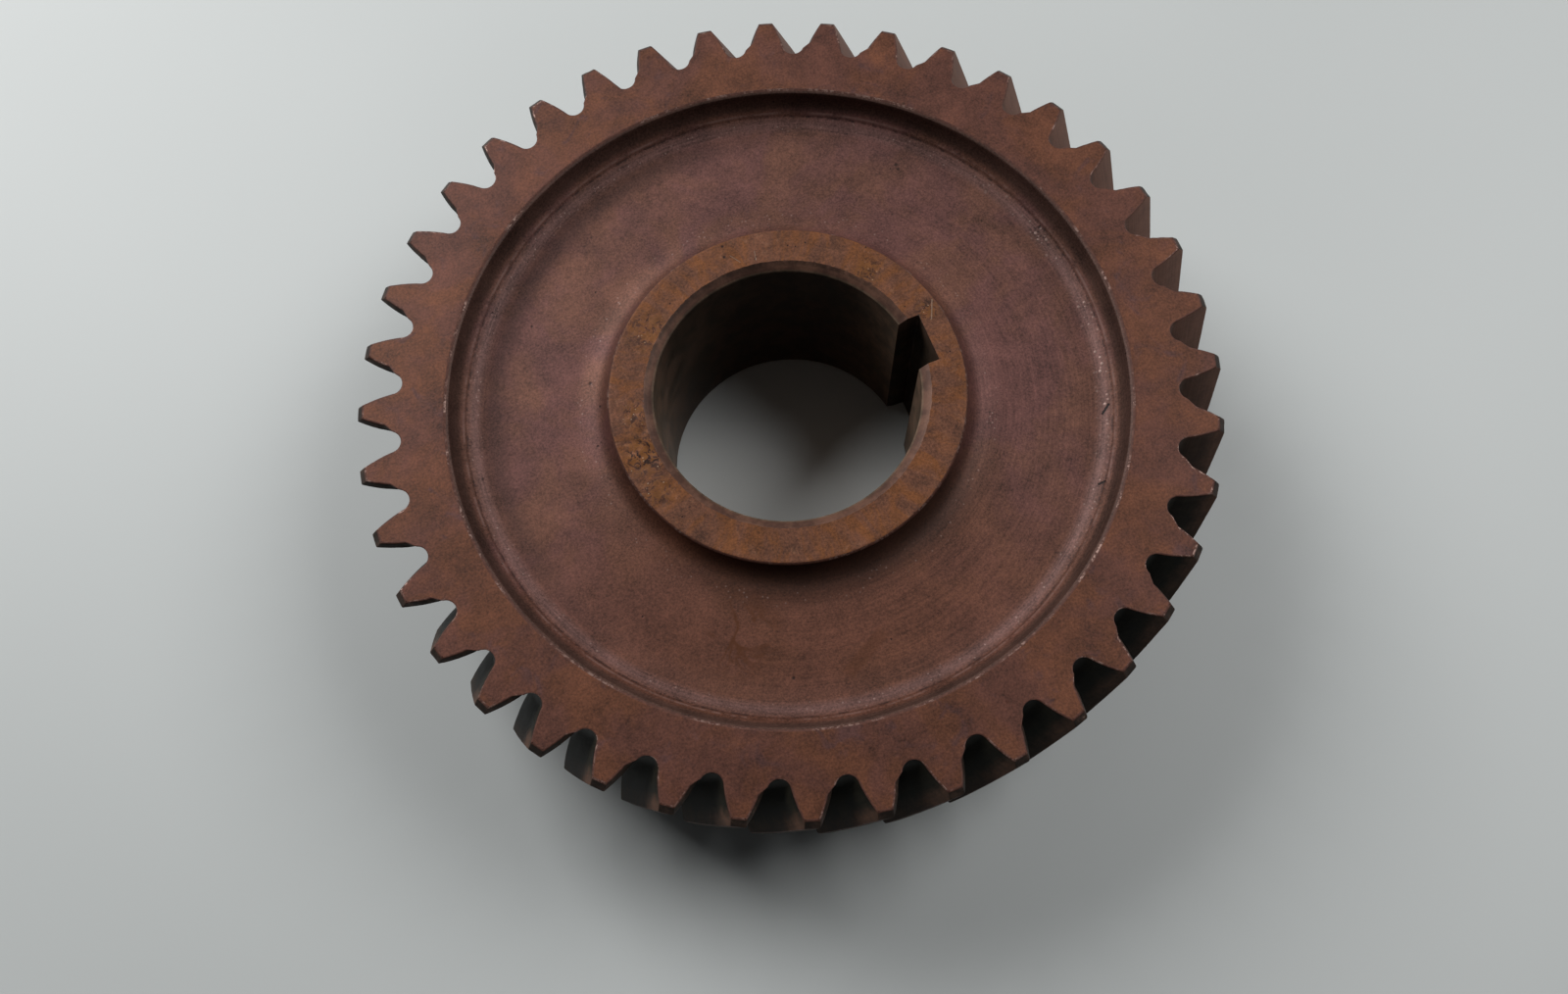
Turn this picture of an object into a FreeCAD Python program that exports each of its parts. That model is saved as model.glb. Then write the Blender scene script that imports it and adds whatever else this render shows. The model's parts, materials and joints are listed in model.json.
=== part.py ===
# Helical gear with a turned web on both sides and a long boss at the back.
# Rim, web and hub are one forging, machined all over, so the gear is one sub-part.
# Frame: millimetres, +Z up along the bore, origin on the bore axis at the end of the
# long boss, keyway towards +X. The side with the short hub is on top.

import FreeCAD, Part
import math
import os
import Sketcher
from FreeCAD import Placement, Rotation, Vector

# ------------------------------------------------------------------ driving sizes

DIMENSIONS = [
    ("teeth", 40, "number of teeth"),
    ("module_normal", 3.5, "normal module"),
    ("helix_angle", 26.0, "helix angle at the pitch circle, right hand, degrees"),
    ("pressure_angle", 20.0, "normal pressure angle, degrees"),
    ("dedendum_factor", 1.42, "tooth depth under the pitch circle, in modules"),
    ("thinning", 0.4, "tooth thickness taken off at the pitch circle"),
    ("root_rise", 1.45, "height of the round root of a tooth space"),
    ("face_width", 23.0, "width of the toothed rim"),
    ("tip_chamfer", 1.3, "turned chamfer at both ends of the tips"),
    ("edge_bevel", 1.2, "bevel on the sharp edge of each tooth end"),
    ("rim_bore", 64.65, "radius where the rim face ends"),
    ("rim_break", 0.65, "bevel of the rim's inner edge, across"),
    ("rim_break_drop", 0.4, "bevel of the rim's inner edge, down"),
    ("recess_depth", 6.0, "web floor under the rim face, both sides"),
    ("recess_draft", 1.9, "how far the recess wall leans in at the floor"),
    ("recess_fillet", 2.6, "fillet between recess wall and web"),
    ("hub_radius", 34.2, "radius of hub and boss"),
    ("hub_fillet", 3.0, "fillet between hub and web"),
    ("hub_break", 0.35, "broken outer edge of the hub's ends"),
    ("hub_inset", 1.8, "front end of the hub under the rim face"),
    ("hub_length", 41.5, "length through the bore"),
    ("bore_radius", 25.5, "bore"),
    ("bore_chamfer", 1.8, "bore chamfer, across"),
    ("bore_chamfer_drop", 1.2, "bore chamfer, down"),
    ("key_width", 10.0, "keyway width"),
    ("key_depth", 3.6, "keyway depth beyond the bore"),
]

# Formulas that several features share, written with the sheet's aliases in braces.
RIM_TOP = "({hub_length} + {hub_inset})"
RIM_BOTTOM = "({hub_length} + {hub_inset} - {face_width})"
WEB_TOP = "(%s - {recess_depth})" % RIM_TOP
WEB_BOTTOM = "(%s + {recess_depth})" % RIM_BOTTOM
PITCH_RADIUS = "({module_normal} * {teeth} / 2 / cos({helix_angle} * 1deg))"
TIP_RADIUS = "(%s + {module_normal})" % PITCH_RADIUS
LEAD = "(2 * pi * %s / tan({helix_angle} * 1deg))" % PITCH_RADIUS

# Cutters run past the faces they open by this much, so that no thin skin is left.
RUN_OUT = 0.6
BEVEL_COVER = 1.2
SPACE_START = "(%s - %s)" % (RIM_BOTTOM, RUN_OUT)

doc = FreeCAD.newDocument("Gear")
sheet = doc.addObject("Spreadsheet::Sheet", "Sizes")
for row, (alias, value, meaning) in enumerate(DIMENSIONS, start=1):
    sheet.set("A%d" % row, meaning)
    sheet.set("B%d" % row, str(value))
    sheet.setAlias("B%d" % row, alias)
doc.recompute()


def expression(formula):
    """Expression text for setExpression: {alias} becomes a cell of the sheet."""
    for alias, _, _ in DIMENSIONS:
        formula = formula.replace("{%s}" % alias, "Sizes.%s" % alias)
    return formula


def number(formula):
    """The formula's value now, as a plain number."""
    value = sheet.evalExpression(expression(formula).replace("Sizes.", ""))
    return float(getattr(value, "Value", value))


# ------------------------------------------------------------------ sketch helpers

def origin_feature(body, role):
    """One of the body's own origin planes or axes."""
    for feature in body.Origin.OriginFeatures:
        if feature.Role == role:
            return feature
    raise ValueError(role)


def new_sketch(body, name, role):
    """Empty sketch lying flat on one of the body's origin planes."""
    sketch = body.newObject("Sketcher::SketchObject", name)
    sketch.AttachmentSupport = [(origin_feature(body, role), "")]
    sketch.MapMode = "FlatFace"
    return sketch


def bind(sketch, kind, geometry, point, formula):
    """Ties one coordinate of a sketch point to the sheet."""
    constraint = Sketcher.Constraint(kind, -1, 1, geometry, point, number(formula))
    index = sketch.addConstraint(constraint)
    sketch.setExpression("Constraints[%d]" % index, expression(formula))


def straight_outline(sketch, corners):
    """Closed chain of lines through corners given as pairs of formulas."""
    places = [Vector(number(x), number(y), 0) for x, y in corners]
    for place, following in zip(places, places[1:] + places[:1]):
        sketch.addGeometry(Part.LineSegment(place, following))
    count = len(corners)
    for line in range(count):
        sketch.addConstraint(Sketcher.Constraint("Coincident", line, 2, (line + 1) % count, 1))
    for line, (x, y) in enumerate(corners):
        bind(sketch, "DistanceX", line, 1, x)
        bind(sketch, "DistanceY", line, 1, y)


def circle_edges(body, radius, height):
    """Names of the body's full circular edges of one radius at one height."""
    names = []
    for index, edge in enumerate(body.Tip.Shape.Edges, start=1):
        curve = edge.Curve
        if isinstance(curve, Part.Circle) and abs(curve.Radius - radius) < 0.01:
            if abs(curve.Center.z - height) < 0.01:
                names.append("Edge%d" % index)
    return names


# ------------------------------------------------------------------ turned blank

def half_section():
    """Outline of the turned blank in the XZ plane, counter-clockwise from the boss end."""
    hub_top = "{hub_length}"
    floor_radius = "({rim_bore} - {rim_break} - {recess_draft})"
    bore_mouth = "({bore_radius} + {bore_chamfer})"
    hub_edge = "({hub_radius} - {hub_break})"
    tip_edge = "(%s - {tip_chamfer})" % TIP_RADIUS
    rim_edge = "({rim_bore} - {rim_break})"
    return [
        ("{bore_radius}", "{bore_chamfer_drop}"),
        (bore_mouth, "0"),
        (hub_edge, "0"),
        ("{hub_radius}", "{hub_break}"),
        ("{hub_radius}", WEB_BOTTOM),
        (floor_radius, WEB_BOTTOM),
        (rim_edge, RIM_BOTTOM + " + {rim_break_drop}"),
        ("{rim_bore}", RIM_BOTTOM),
        (tip_edge, RIM_BOTTOM),
        (TIP_RADIUS, RIM_BOTTOM + " + {tip_chamfer}"),
        (TIP_RADIUS, RIM_TOP + " - {tip_chamfer}"),
        (tip_edge, RIM_TOP),
        ("{rim_bore}", RIM_TOP),
        (rim_edge, RIM_TOP + " - {rim_break_drop}"),
        (floor_radius, WEB_TOP),
        ("{hub_radius}", WEB_TOP),
        ("{hub_radius}", hub_top + " - {hub_break}"),
        (hub_edge, hub_top),
        (bore_mouth, hub_top),
        ("{bore_radius}", hub_top + " - {bore_chamfer_drop}"),
    ]


def turn_blank(body):
    """Revolves the half section and rounds the four corners of the two recesses."""
    sketch = new_sketch(body, "BlankSection", "XZ_Plane")
    straight_outline(sketch, half_section())
    blank = body.newObject("PartDesign::Revolution", "Blank")
    blank.Profile = sketch
    blank.ReferenceAxis = (sketch, ["V_Axis"])
    blank.Angle = 360.0
    doc.recompute()
    corners = [
        ("HubFillet", "{hub_fillet}", "{hub_radius}"),
        ("RecessFillet", "{recess_fillet}", "{rim_bore} - {rim_break} - {recess_draft}"),
    ]
    for name, radius, place in corners:
        edges = []
        for height in (WEB_TOP, WEB_BOTTOM):
            edges += circle_edges(body, number(place), number(height))
        base = body.Tip
        fillet = body.newObject("PartDesign::Fillet", name)
        fillet.Base = (base, edges)
        fillet.setExpression("Radius", expression(radius))
        doc.recompute()


def cut_keyway(body):
    """Parallel keyway towards +X, broached through the whole bore."""
    sketch = new_sketch(body, "KeywaySection", "XY_Plane")
    far_side = "({bore_radius} + {key_depth})"
    straight_outline(sketch, [
        ("0", "-{key_width} / 2"),
        (far_side, "-{key_width} / 2"),
        (far_side, "{key_width} / 2"),
        ("0", "{key_width} / 2"),
    ])
    keyway = body.newObject("PartDesign::Pocket", "Keyway")
    keyway.Profile = sketch
    keyway.Type = "ThroughAll"
    keyway.Midplane = True
    doc.recompute()


# ------------------------------------------------------------------ teeth

def transverse_geometry():
    """Radii and angles of the teeth in a plane square to the bore."""
    helix = math.radians(number("{helix_angle}"))
    pressure = math.atan(math.tan(math.radians(number("{pressure_angle}"))) / math.cos(helix))
    pitch = number(PITCH_RADIUS)
    base = pitch * math.cos(pressure)
    thickness = math.pi * pitch / number("{teeth}") - number("{thinning}")
    half_at_pitch = thickness / 2 / pitch
    half_at_base = half_at_pitch + math.tan(pressure) - pressure
    root = pitch - number("{dedendum_factor} * {module_normal}")
    return base, half_at_base, root


def space_half_angle(radius):
    """Half the angle of the gap between two teeth at a radius."""
    base, half_at_base, _ = transverse_geometry()
    roll = math.acos(min(1.0, base / radius))
    tooth_half = half_at_base - (math.tan(roll) - roll)
    return math.pi / number("{teeth}") - tooth_half


def polar(radius, angle):
    return Vector(radius * math.cos(angle), radius * math.sin(angle), 0)


def flank(side, shift, low, high):
    """Involute flank of a tooth space, from radius low to high; shift moves it sideways."""
    count = 5
    points = []
    for step in range(count):
        radius = low + (high - low) * step / (count - 1)
        points.append(polar(radius, side * space_half_angle(radius) + shift / radius))
    curve = Part.BSplineCurve()
    curve.interpolate(points)
    return curve


def space_section(low, high, root):
    """Tooth space: two flanks, a round root and a straight closing line outside."""
    left = flank(1, 0, low, high)
    right = flank(-1, 0, low, high)
    bottom = Part.Arc(right.StartPoint, polar(root, 0), left.StartPoint)
    outside = Part.LineSegment(left.EndPoint, right.EndPoint)
    return [right, bottom, left, outside]


def bevel_section(side, shift, low, high):
    """Strip beside one flank of a space, from shift inside the tooth to within the space."""
    outer = flank(side, side * shift, low, high)
    inner = flank(side, -side * BEVEL_COVER, low, high)
    start = Part.LineSegment(outer.StartPoint, inner.StartPoint)
    end = Part.LineSegment(inner.EndPoint, outer.EndPoint)
    return [outer, start, inner, end]


def section_sketch(body, name, curves, height):
    """Sketch square to the bore at a height, turned to the tooth space's place there."""
    sketch = new_sketch(body, name, "XY_Plane")
    for curve in curves:
        sketch.addGeometry(curve)
    turned = Rotation(Vector(0, 0, 1), math.degrees(space_turn(number(height))))
    sketch.AttachmentOffset = Placement(Vector(0, 0, number(height)), turned)
    sketch.setExpression("AttachmentOffset.Base.z", expression(height))
    return sketch


def space_turn(height):
    """Angle of the patterned tooth space's centre line at a height above the boss end."""
    half_pitch = math.pi / number("{teeth}")
    return half_pitch - 2 * math.pi * (number(RIM_TOP) - height) / number(LEAD)


def cut_space(body, low, high, root):
    """One tooth space, swept along its helix through the whole rim."""
    profile = section_sketch(body, "SpaceSection", space_section(low, high, root), SPACE_START)
    space = body.newObject("PartDesign::SubtractiveHelix", "ToothSpace")
    space.Profile = profile
    space.ReferenceAxis = (origin_feature(body, "Z_Axis"), [""])
    space.Mode = 0
    space.setExpression("Pitch", expression(LEAD))
    space.setExpression("Height", expression("{face_width} + 2 * %s" % RUN_OUT))
    space.LeftHanded = False
    doc.recompute()
    return space


def cut_bevel(body, name, side, face, outwards, low, high):
    """Bevel of the sharp flank edge where one tooth end meets a rim face."""
    reach = number("{edge_bevel}")
    outer_height = "%s + %s * %s" % (face, outwards, RUN_OUT)
    inner_height = "%s - %s * ({edge_bevel} + %s)" % (face, outwards, RUN_OUT)
    wide = bevel_section(side, reach + RUN_OUT, low, high)
    narrow = bevel_section(side, -RUN_OUT, low, high)
    first = section_sketch(body, name + "Face", wide, outer_height)
    second = section_sketch(body, name + "Depth", narrow, inner_height)
    bevel = body.newObject("PartDesign::SubtractiveLoft", name)
    bevel.Profile = first
    bevel.Sections = [second]
    bevel.Ruled = True
    doc.recompute()
    return bevel


def cut_teeth(body):
    """One tooth space with its two end bevels, repeated all round the rim."""
    _, _, root = transverse_geometry()
    low = root + number("{root_rise}")
    high = number(TIP_RADIUS) + RUN_OUT
    space = cut_space(body, low, high, root)
    top = cut_bevel(body, "TopBevel", -1, RIM_TOP, 1, low, high)
    bottom = cut_bevel(body, "BottomBevel", 1, RIM_BOTTOM, -1, low, high)
    pattern = body.newObject("PartDesign::PolarPattern", "Teeth")
    pattern.Originals = [space, top, bottom]
    pattern.Axis = (origin_feature(body, "Z_Axis"), [""])
    pattern.Angle = 360.0
    pattern.setExpression("Occurrences", expression("{teeth}"))
    body.Tip = pattern
    doc.recompute()


# ------------------------------------------------------------------ build and write

def check(items, shapes):
    """Stops the build if an object failed to recompute or a sub-part has no sound shape."""
    for item in items:
        if "Invalid" in item.State or "Error" in item.State:
            raise RuntimeError("%s: %s" % (item.Name, item.getStatusString()))
    for label, shape in shapes.items():
        if shape.isNull() or not shape.isValid() or len(shape.Solids) != 1:
            raise RuntimeError("%s has no single valid solid" % label)


def volume_after(step, body):
    """Runs one modelling step and stops if it took nothing off the body."""
    before = body.Tip.Shape.Volume
    step(body)
    after = body.Tip.Shape.Volume
    if after >= before:
        raise RuntimeError("%s cut nothing" % step.__name__)
    print("%s removed %.0f mm3" % (step.__name__, before - after))


gear = doc.addObject("PartDesign::Body", "HelicalGear")
gear.Label = "helical_gear"
turn_blank(gear)
volume_after(cut_keyway, gear)
volume_after(cut_teeth, gear)

subparts = [gear]
check(doc.Objects, {part.Label: part.Shape for part in subparts})
os.makedirs("parts", exist_ok=True)
for part in subparts:
    part.Shape.exportStep("parts/%s.step" % part.Label)
    box = part.Shape.optimalBoundingBox(True)
    print("%s: %.1f x %.1f x %.1f mm" % (part.Label, box.XLength, box.YLength, box.ZLength))
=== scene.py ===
"""Looks of a used helical gear: brown oxide film on machined forging steel.

One closed mesh stands for the whole gear. Its toothed band, its two recessed sides, its hub
and its keyed bore are rings of points, worked out from a few sizes and joined into strips.
The recess's section and the places of single pits, patches and marks are given one by one.
Sizes are millimetres until the mesh is made, angles are radians unless a name says degrees.
"""

import json
import math

import bmesh
import bpy
import numpy as np
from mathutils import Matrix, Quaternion, Vector, noise


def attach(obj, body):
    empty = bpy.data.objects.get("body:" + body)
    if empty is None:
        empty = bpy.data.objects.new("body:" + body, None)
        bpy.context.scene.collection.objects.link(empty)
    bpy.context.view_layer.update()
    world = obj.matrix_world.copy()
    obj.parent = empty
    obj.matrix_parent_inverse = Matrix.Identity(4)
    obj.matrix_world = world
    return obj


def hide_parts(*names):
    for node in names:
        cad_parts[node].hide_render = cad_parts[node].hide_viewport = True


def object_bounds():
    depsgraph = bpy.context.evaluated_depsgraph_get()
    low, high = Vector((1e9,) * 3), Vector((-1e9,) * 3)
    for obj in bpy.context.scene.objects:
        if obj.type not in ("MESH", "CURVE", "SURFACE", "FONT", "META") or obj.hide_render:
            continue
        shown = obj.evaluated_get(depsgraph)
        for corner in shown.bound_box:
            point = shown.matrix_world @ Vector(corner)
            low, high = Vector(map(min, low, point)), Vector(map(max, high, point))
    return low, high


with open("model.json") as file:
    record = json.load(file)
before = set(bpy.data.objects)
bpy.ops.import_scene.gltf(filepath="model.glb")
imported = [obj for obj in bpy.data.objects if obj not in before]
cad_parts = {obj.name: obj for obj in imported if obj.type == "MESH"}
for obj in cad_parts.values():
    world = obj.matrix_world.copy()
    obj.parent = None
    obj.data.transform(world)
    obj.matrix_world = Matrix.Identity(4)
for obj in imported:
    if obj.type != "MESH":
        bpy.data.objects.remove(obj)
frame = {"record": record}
cad_low, cad_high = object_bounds()

MM = 0.001
MOUNTS = {mount["name"]: mount for mount in frame["record"]["mounts"]}

# ------------------------------------------------------------------ sizes from the frame

RIM_TOP = cad_high.z / MM
RIM_BOTTOM = MOUNTS["rim_face_back"]["pos_m"][2] / MM
HUB_TOP = MOUNTS["hub_face"]["pos_m"][2] / MM
BORE = MOUNTS["bore"]["dims"]["r_mm"]
KEY_BOTTOM = MOUNTS["keyway"]["pos_m"][0] / MM
PITCH_RADIUS = MOUNTS["tooth_mesh"]["pos_m"][0] / MM
FACE_WIDTH = RIM_TOP - RIM_BOTTOM

# ------------------------------------------------------------------ sizes of the design

TEETH = 40
MODULE = 3.5
HELIX = math.radians(26)
PRESSURE = math.radians(20)
DEDENDUM = 1.42 * MODULE
BOX_MARGIN = 0.001
TIP_RADIUS = PITCH_RADIUS + MODULE - BOX_MARGIN
ROOT_RADIUS = PITCH_RADIUS - DEDENDUM
THINNING = 0.4
ROOT_RISE = 1.45
TIP_CHAMFER = 1.3
EDGE_BEVEL = 1.2
RIM_BORE = 64.65
RIM_BREAK = 0.65
HUB_RADIUS = 34.2
HUB_BREAK = 0.35
CHAMFER, CHAMFER_DROP = 1.8, 1.2
KEY_HALF = 5.0

# ------------------------------------------------------------------ fineness of the mesh

ROOT_STEPS, FLANK_STEPS, TIP_STEPS, CORNER_STEPS = 6, 10, 5, 2
TOOTH_POINTS = 2 * (ROOT_STEPS + FLANK_STEPS + TIP_STEPS) + 2
RING_POINTS = 11 * TEETH
FAN = TOOTH_POINTS * TEETH // RING_POINTS
KEY_BOTTOM_STEPS, KEY_WALL_STEPS = 7, 8
KEY_POINTS = KEY_BOTTOM_STEPS + KEY_WALL_STEPS - 1
HUB_FACE_RINGS = 14
JOIN_RADIUS = 71.0
FACE_RING = 69.0
SHARP_ANGLE = math.radians(31)

# Material slots of the mesh, in order.
RIM, WEB, HUB, BORED, FLANK, EDGE, KEYWAY, CHAMFERED = range(8)


def polar(degrees, radius):
    """Place at a heading round the bore and a distance from its axis."""
    turn = math.radians(degrees)
    return radius * math.cos(turn), radius * math.sin(turn)


def smooth(value, low, high):
    """0 below low, 1 above high and an even S between them."""
    step = np.clip((value - low) / (high - low), 0, 1)
    return step * step * (3 - 2 * step)


def rough(x, y, z, grain, seed=0.0):
    """Smooth noise from -1 to 1 at a place, with lumps about grain across."""
    return noise.noise(Vector((x / grain + seed, y / grain - seed, z / grain + 2 * seed)))


# ------------------------------------------------------------------ toothed band

TRANSVERSE = math.atan(math.tan(PRESSURE) / math.cos(HELIX))
BASE_RADIUS = PITCH_RADIUS * math.cos(TRANSVERSE)
LEAD = 2 * math.pi * PITCH_RADIUS / math.tan(HELIX)
HALF_PITCH = math.pi / TEETH
HALF_AT_BASE = ((math.pi * PITCH_RADIUS / TEETH - THINNING) / 2 / PITCH_RADIUS
                + math.tan(TRANSVERSE) - TRANSVERSE)
FLANK_FOOT = ROOT_RADIUS + ROOT_RISE


def tooth_half_angle(radius):
    """Half the angle that a tooth takes at a radius: an involute on each side."""
    roll = np.arccos(np.minimum(1, BASE_RADIUS / radius))
    return HALF_AT_BASE - (np.tan(roll) - roll)


def twist_at(depth):
    """Angle that the teeth have turned by at a depth under the top rim face."""
    return -2 * math.pi * depth / LEAD


def root_arc():
    """Angles from the space's middle and radii of one half of its round root, flank first."""
    half_space = HALF_PITCH - tooth_half_angle(FLANK_FOOT)
    foot_x, foot_y = FLANK_FOOT * math.cos(half_space), FLANK_FOOT * math.sin(half_space)
    centre = (FLANK_FOOT**2 - ROOT_RADIUS**2) / (2 * (foot_x - ROOT_RADIUS))
    radius = centre - ROOT_RADIUS
    sweep = math.atan2(foot_y, centre - foot_x)
    turns = sweep * (1 - np.arange(1, ROOT_STEPS + 1) / (ROOT_STEPS + 1))
    x, y = centre - radius * np.cos(turns), radius * np.sin(turns)
    return np.arctan2(y, x), np.hypot(x, y)


ROOT_ANGLES, ROOT_RADII = root_arc()

# Where the points of half a tip and of a flank lie, as shares of the way along it, and how far
# each tip point is worn down towards the corner.
TIP_SHARES = np.array([0.3, 0.62, 0.86, 0.955, 0.99])
CORNER_DROPS = np.array([0.0, 0.0, 0.0, 0.012, 0.05])
FLANK_SHARES = np.array([0.012, 0.04, 0.12, 0.23, 0.35, 0.48, 0.61, 0.74, 0.87, 1.0])


def half_tooth(tip, bevel, inset):
    """One side of a tooth from beside its middle down to the root: angles and radii.

    tip is the tip radius, bevel is taken off the flank along the pitch line, and inset draws
    the whole outline in, as towards a face with a worn edge.
    """
    flank_radii = tip + (FLANK_FOOT - tip) * FLANK_SHARES
    cut = bevel * smooth(flank_radii, FLANK_FOOT - 0.2, FLANK_FOOT + 1.6) + inset
    flank = tooth_half_angle(flank_radii) - cut / flank_radii
    tip_half = tooth_half_angle(tip) - (bevel + inset) / tip
    tip_angles = TIP_SHARES * tip_half
    tip_radii = tip - CORNER_DROPS
    root = HALF_PITCH - ROOT_ANGLES
    angles = np.concatenate([tip_angles, flank, root - inset / ROOT_RADIUS])
    radii = np.concatenate([tip_radii - inset, flank_radii, ROOT_RADII - inset])
    return angles, radii


def tooth_outline(tip, ccw_bevel, cw_bevel, inset):
    """A whole tooth with half a space on each side, in order of angle."""
    left, left_radii = half_tooth(tip, ccw_bevel, inset)
    right, right_radii = half_tooth(tip, cw_bevel, inset)
    angles = np.concatenate([[-HALF_PITCH], -right[::-1], [0.0], left])
    radii = np.concatenate([[ROOT_RADIUS - inset], right_radii[::-1], [tip - inset], left_radii])
    return angles, radii


def outline_parts():
    """What the stretch after each point of a tooth's outline lies on."""
    half = ["tip"] * (TIP_STEPS - CORNER_STEPS) + ["corner"] * CORNER_STEPS
    half += ["flank"] * FLANK_STEPS + ["root"] * ROOT_STEPS
    cw = ["cw" if part == "flank" else part for part in half[::-1]]
    ccw = ["ccw" if part == "flank" else part for part in half]
    return ["root"] + cw + ["tip"] + ccw


OUTLINE_PARTS = outline_parts()

# Wear of the tooth edges: radius of the rounding, width of the bare line beside it on the end
# face, and how far down the flanks the dents reach.
EDGE_ROUND = 0.13
WORN_LINE = 0.17
DENT_REACH = 1.4

# Depths under each rim face at which the band has a ring, and the rings between the two ends.
FACE_DEPTHS = [0.0, 0.04, EDGE_ROUND, 0.62, 1.12, 1.22, 1.34, 1.5, 2.4]
MIDDLE_RINGS = 2


def band_depths():
    """Depths of all the band's rings, from the top rim face to the back one."""
    ends = FACE_DEPTHS[-1]
    middle = [ends + (FACE_WIDTH - 2 * ends) * step / (MIDDLE_RINGS + 1)
              for step in range(1, MIDDLE_RINGS + 1)]
    return FACE_DEPTHS + middle + [FACE_WIDTH - depth for depth in FACE_DEPTHS[::-1]]


def edge_inset(depth):
    """How far a worn edge is rounded back at a depth under its face."""
    if depth >= EDGE_ROUND:
        return 0.0
    return EDGE_ROUND * (1 - math.sin(math.acos(1 - depth / EDGE_ROUND)))


def nick(x, y, z):
    """Depth of the small dents along the worn tooth edges."""
    dent = max(0.0, rough(x, y, z, 2.6, 3.1) - 0.34) * 0.55
    chip = max(0.0, rough(x, y, z, 0.9, 7.7) - 0.45) * 0.35
    return dent + chip


def dented(radius, turned, height, from_face, side, part):
    """Radius and angle of an outline point once it is dented by wear."""
    wear = 1.0 if from_face < 0.05 else 0.6 if from_face < DENT_REACH else 0.25
    dent = wear * nick(radius * math.cos(turned), radius * math.sin(turned), height)
    if part in ("tip", "corner"):
        return radius - dent, turned
    if from_face > DENT_REACH:
        return radius, turned
    return radius, turned - math.copysign(dent, side) / radius


def band_ring(depth, extra_inset=0.0):
    """Points of the toothed outline at a depth under the top rim face.

    With extra_inset the outline is drawn in by that much more, and isn't dented.
    """
    from_face = min(depth, FACE_WIDTH - depth)
    front = depth < FACE_WIDTH / 2
    tip = TIP_RADIUS - max(0.0, TIP_CHAMFER - from_face)
    bevel = max(0.0, EDGE_BEVEL - from_face)
    inset = edge_inset(from_face) + extra_inset
    angles, radii = tooth_outline(tip, bevel if front else 0.0, 0.0 if front else bevel, inset)
    twist = twist_at(depth)
    height = RIM_TOP - depth
    points = []
    for tooth in range(TEETH):
        for angle, radius, part in zip(angles, radii, OUTLINE_PARTS):
            turned = angle + twist + 2 * HALF_PITCH * tooth
            if part != "root" and not extra_inset:
                radius, turned = dented(radius, turned, height, from_face, angle, part)
            points.append((radius * math.cos(turned), radius * math.sin(turned), height))
    return points


def join_ring(depth, radius):
    """Circle inside the teeth with one point for each point of the outline."""
    angles, _ = tooth_outline(TIP_RADIUS, 0.0, 0.0, 0.0)
    twist = twist_at(depth)
    return [(radius * math.cos(angle + twist + 2 * HALF_PITCH * tooth),
             radius * math.sin(angle + twist + 2 * HALF_PITCH * tooth), RIM_TOP - depth)
            for tooth in range(TEETH) for angle in angles]


def band_material(depth, part):
    """Material slot of a stretch of the band at a depth midway between two rings."""
    from_face = min(depth, FACE_WIDTH - depth)
    if from_face < EDGE_ROUND:
        return EDGE
    if from_face < TIP_CHAMFER:
        bevelled = "ccw" if depth < FACE_WIDTH / 2 else "cw"
        return CHAMFERED if part in ("tip", "corner", bevelled) else FLANK
    return EDGE if part == "corner" else FLANK


# ------------------------------------------------------------------ turned surfaces

def recess_section():
    """One side's section from the rim to the foot of the hub: radius, depth under the rim face.

    The points below the rim's edge were set against the photograph.
    """
    break_radius = RIM_BORE - RIM_BREAK
    rim_edge = [(FACE_RING, 0), (RIM_BORE + 0.3, 0), (RIM_BORE + 0.1, 0.008),
                (RIM_BORE, 0.035), (RIM_BORE - 0.1, 0.09), (RIM_BORE - 0.3, 0.21),
                (break_radius + 0.06, 0.35), (break_radius - 0.03, 0.44),
                (break_radius - 0.09, 0.56)]
    wall = [(63.8, 1.25), (63.62, 1.9), (63.4, 2.5), (63.15, 3.02), (62.88, 3.44),
            (62.58, 3.78), (62.26, 4.04)]
    crest = [(62.02, 4.2), (61.84, 4.37), (61.67, 4.58), (61.5, 4.68), (61.3, 4.76)]
    slope = [(60.9, 4.92), (60.4, 5.13), (59.8, 5.35), (59.1, 5.57), (58.4, 5.74)]
    dish = [(57.6, 5.89), (56.8, 6.0), (55.8, 6.09), (54.6, 6.15), (53.2, 6.18)]
    web = [(50.5, 6.15), (47.0, 6.07), (43.5, 6.0)]
    foot = [(41.2, 5.96), (39.3, 5.88), (37.8, 5.73), (37.0, 5.54), (36.3, 5.22),
            (35.7, 4.8), (35.2, 4.28), (34.8, 3.7), (34.5, 3.1), (34.3, 2.62)]
    return rim_edge + wall + crest + slope + dish + web + foot


def hub_edge(outer, height, outwards):
    """Broken and slightly worn edge of a hub end, from its side to its face."""
    return [(outer, height - outwards * 0.55), (outer, height - outwards * (HUB_BREAK + 0.08)),
            (outer - 0.03, height - outwards * HUB_BREAK),
            (outer - HUB_BREAK, height - outwards * 0.03), (outer - HUB_BREAK - 0.09, height)]


def circle(radius, height):
    """Ring of evenly spaced points round the bore's axis."""
    angles = 2 * np.pi * np.arange(RING_POINTS) / RING_POINTS
    return [(radius * math.cos(a), radius * math.sin(a), height) for a in angles]


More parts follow.
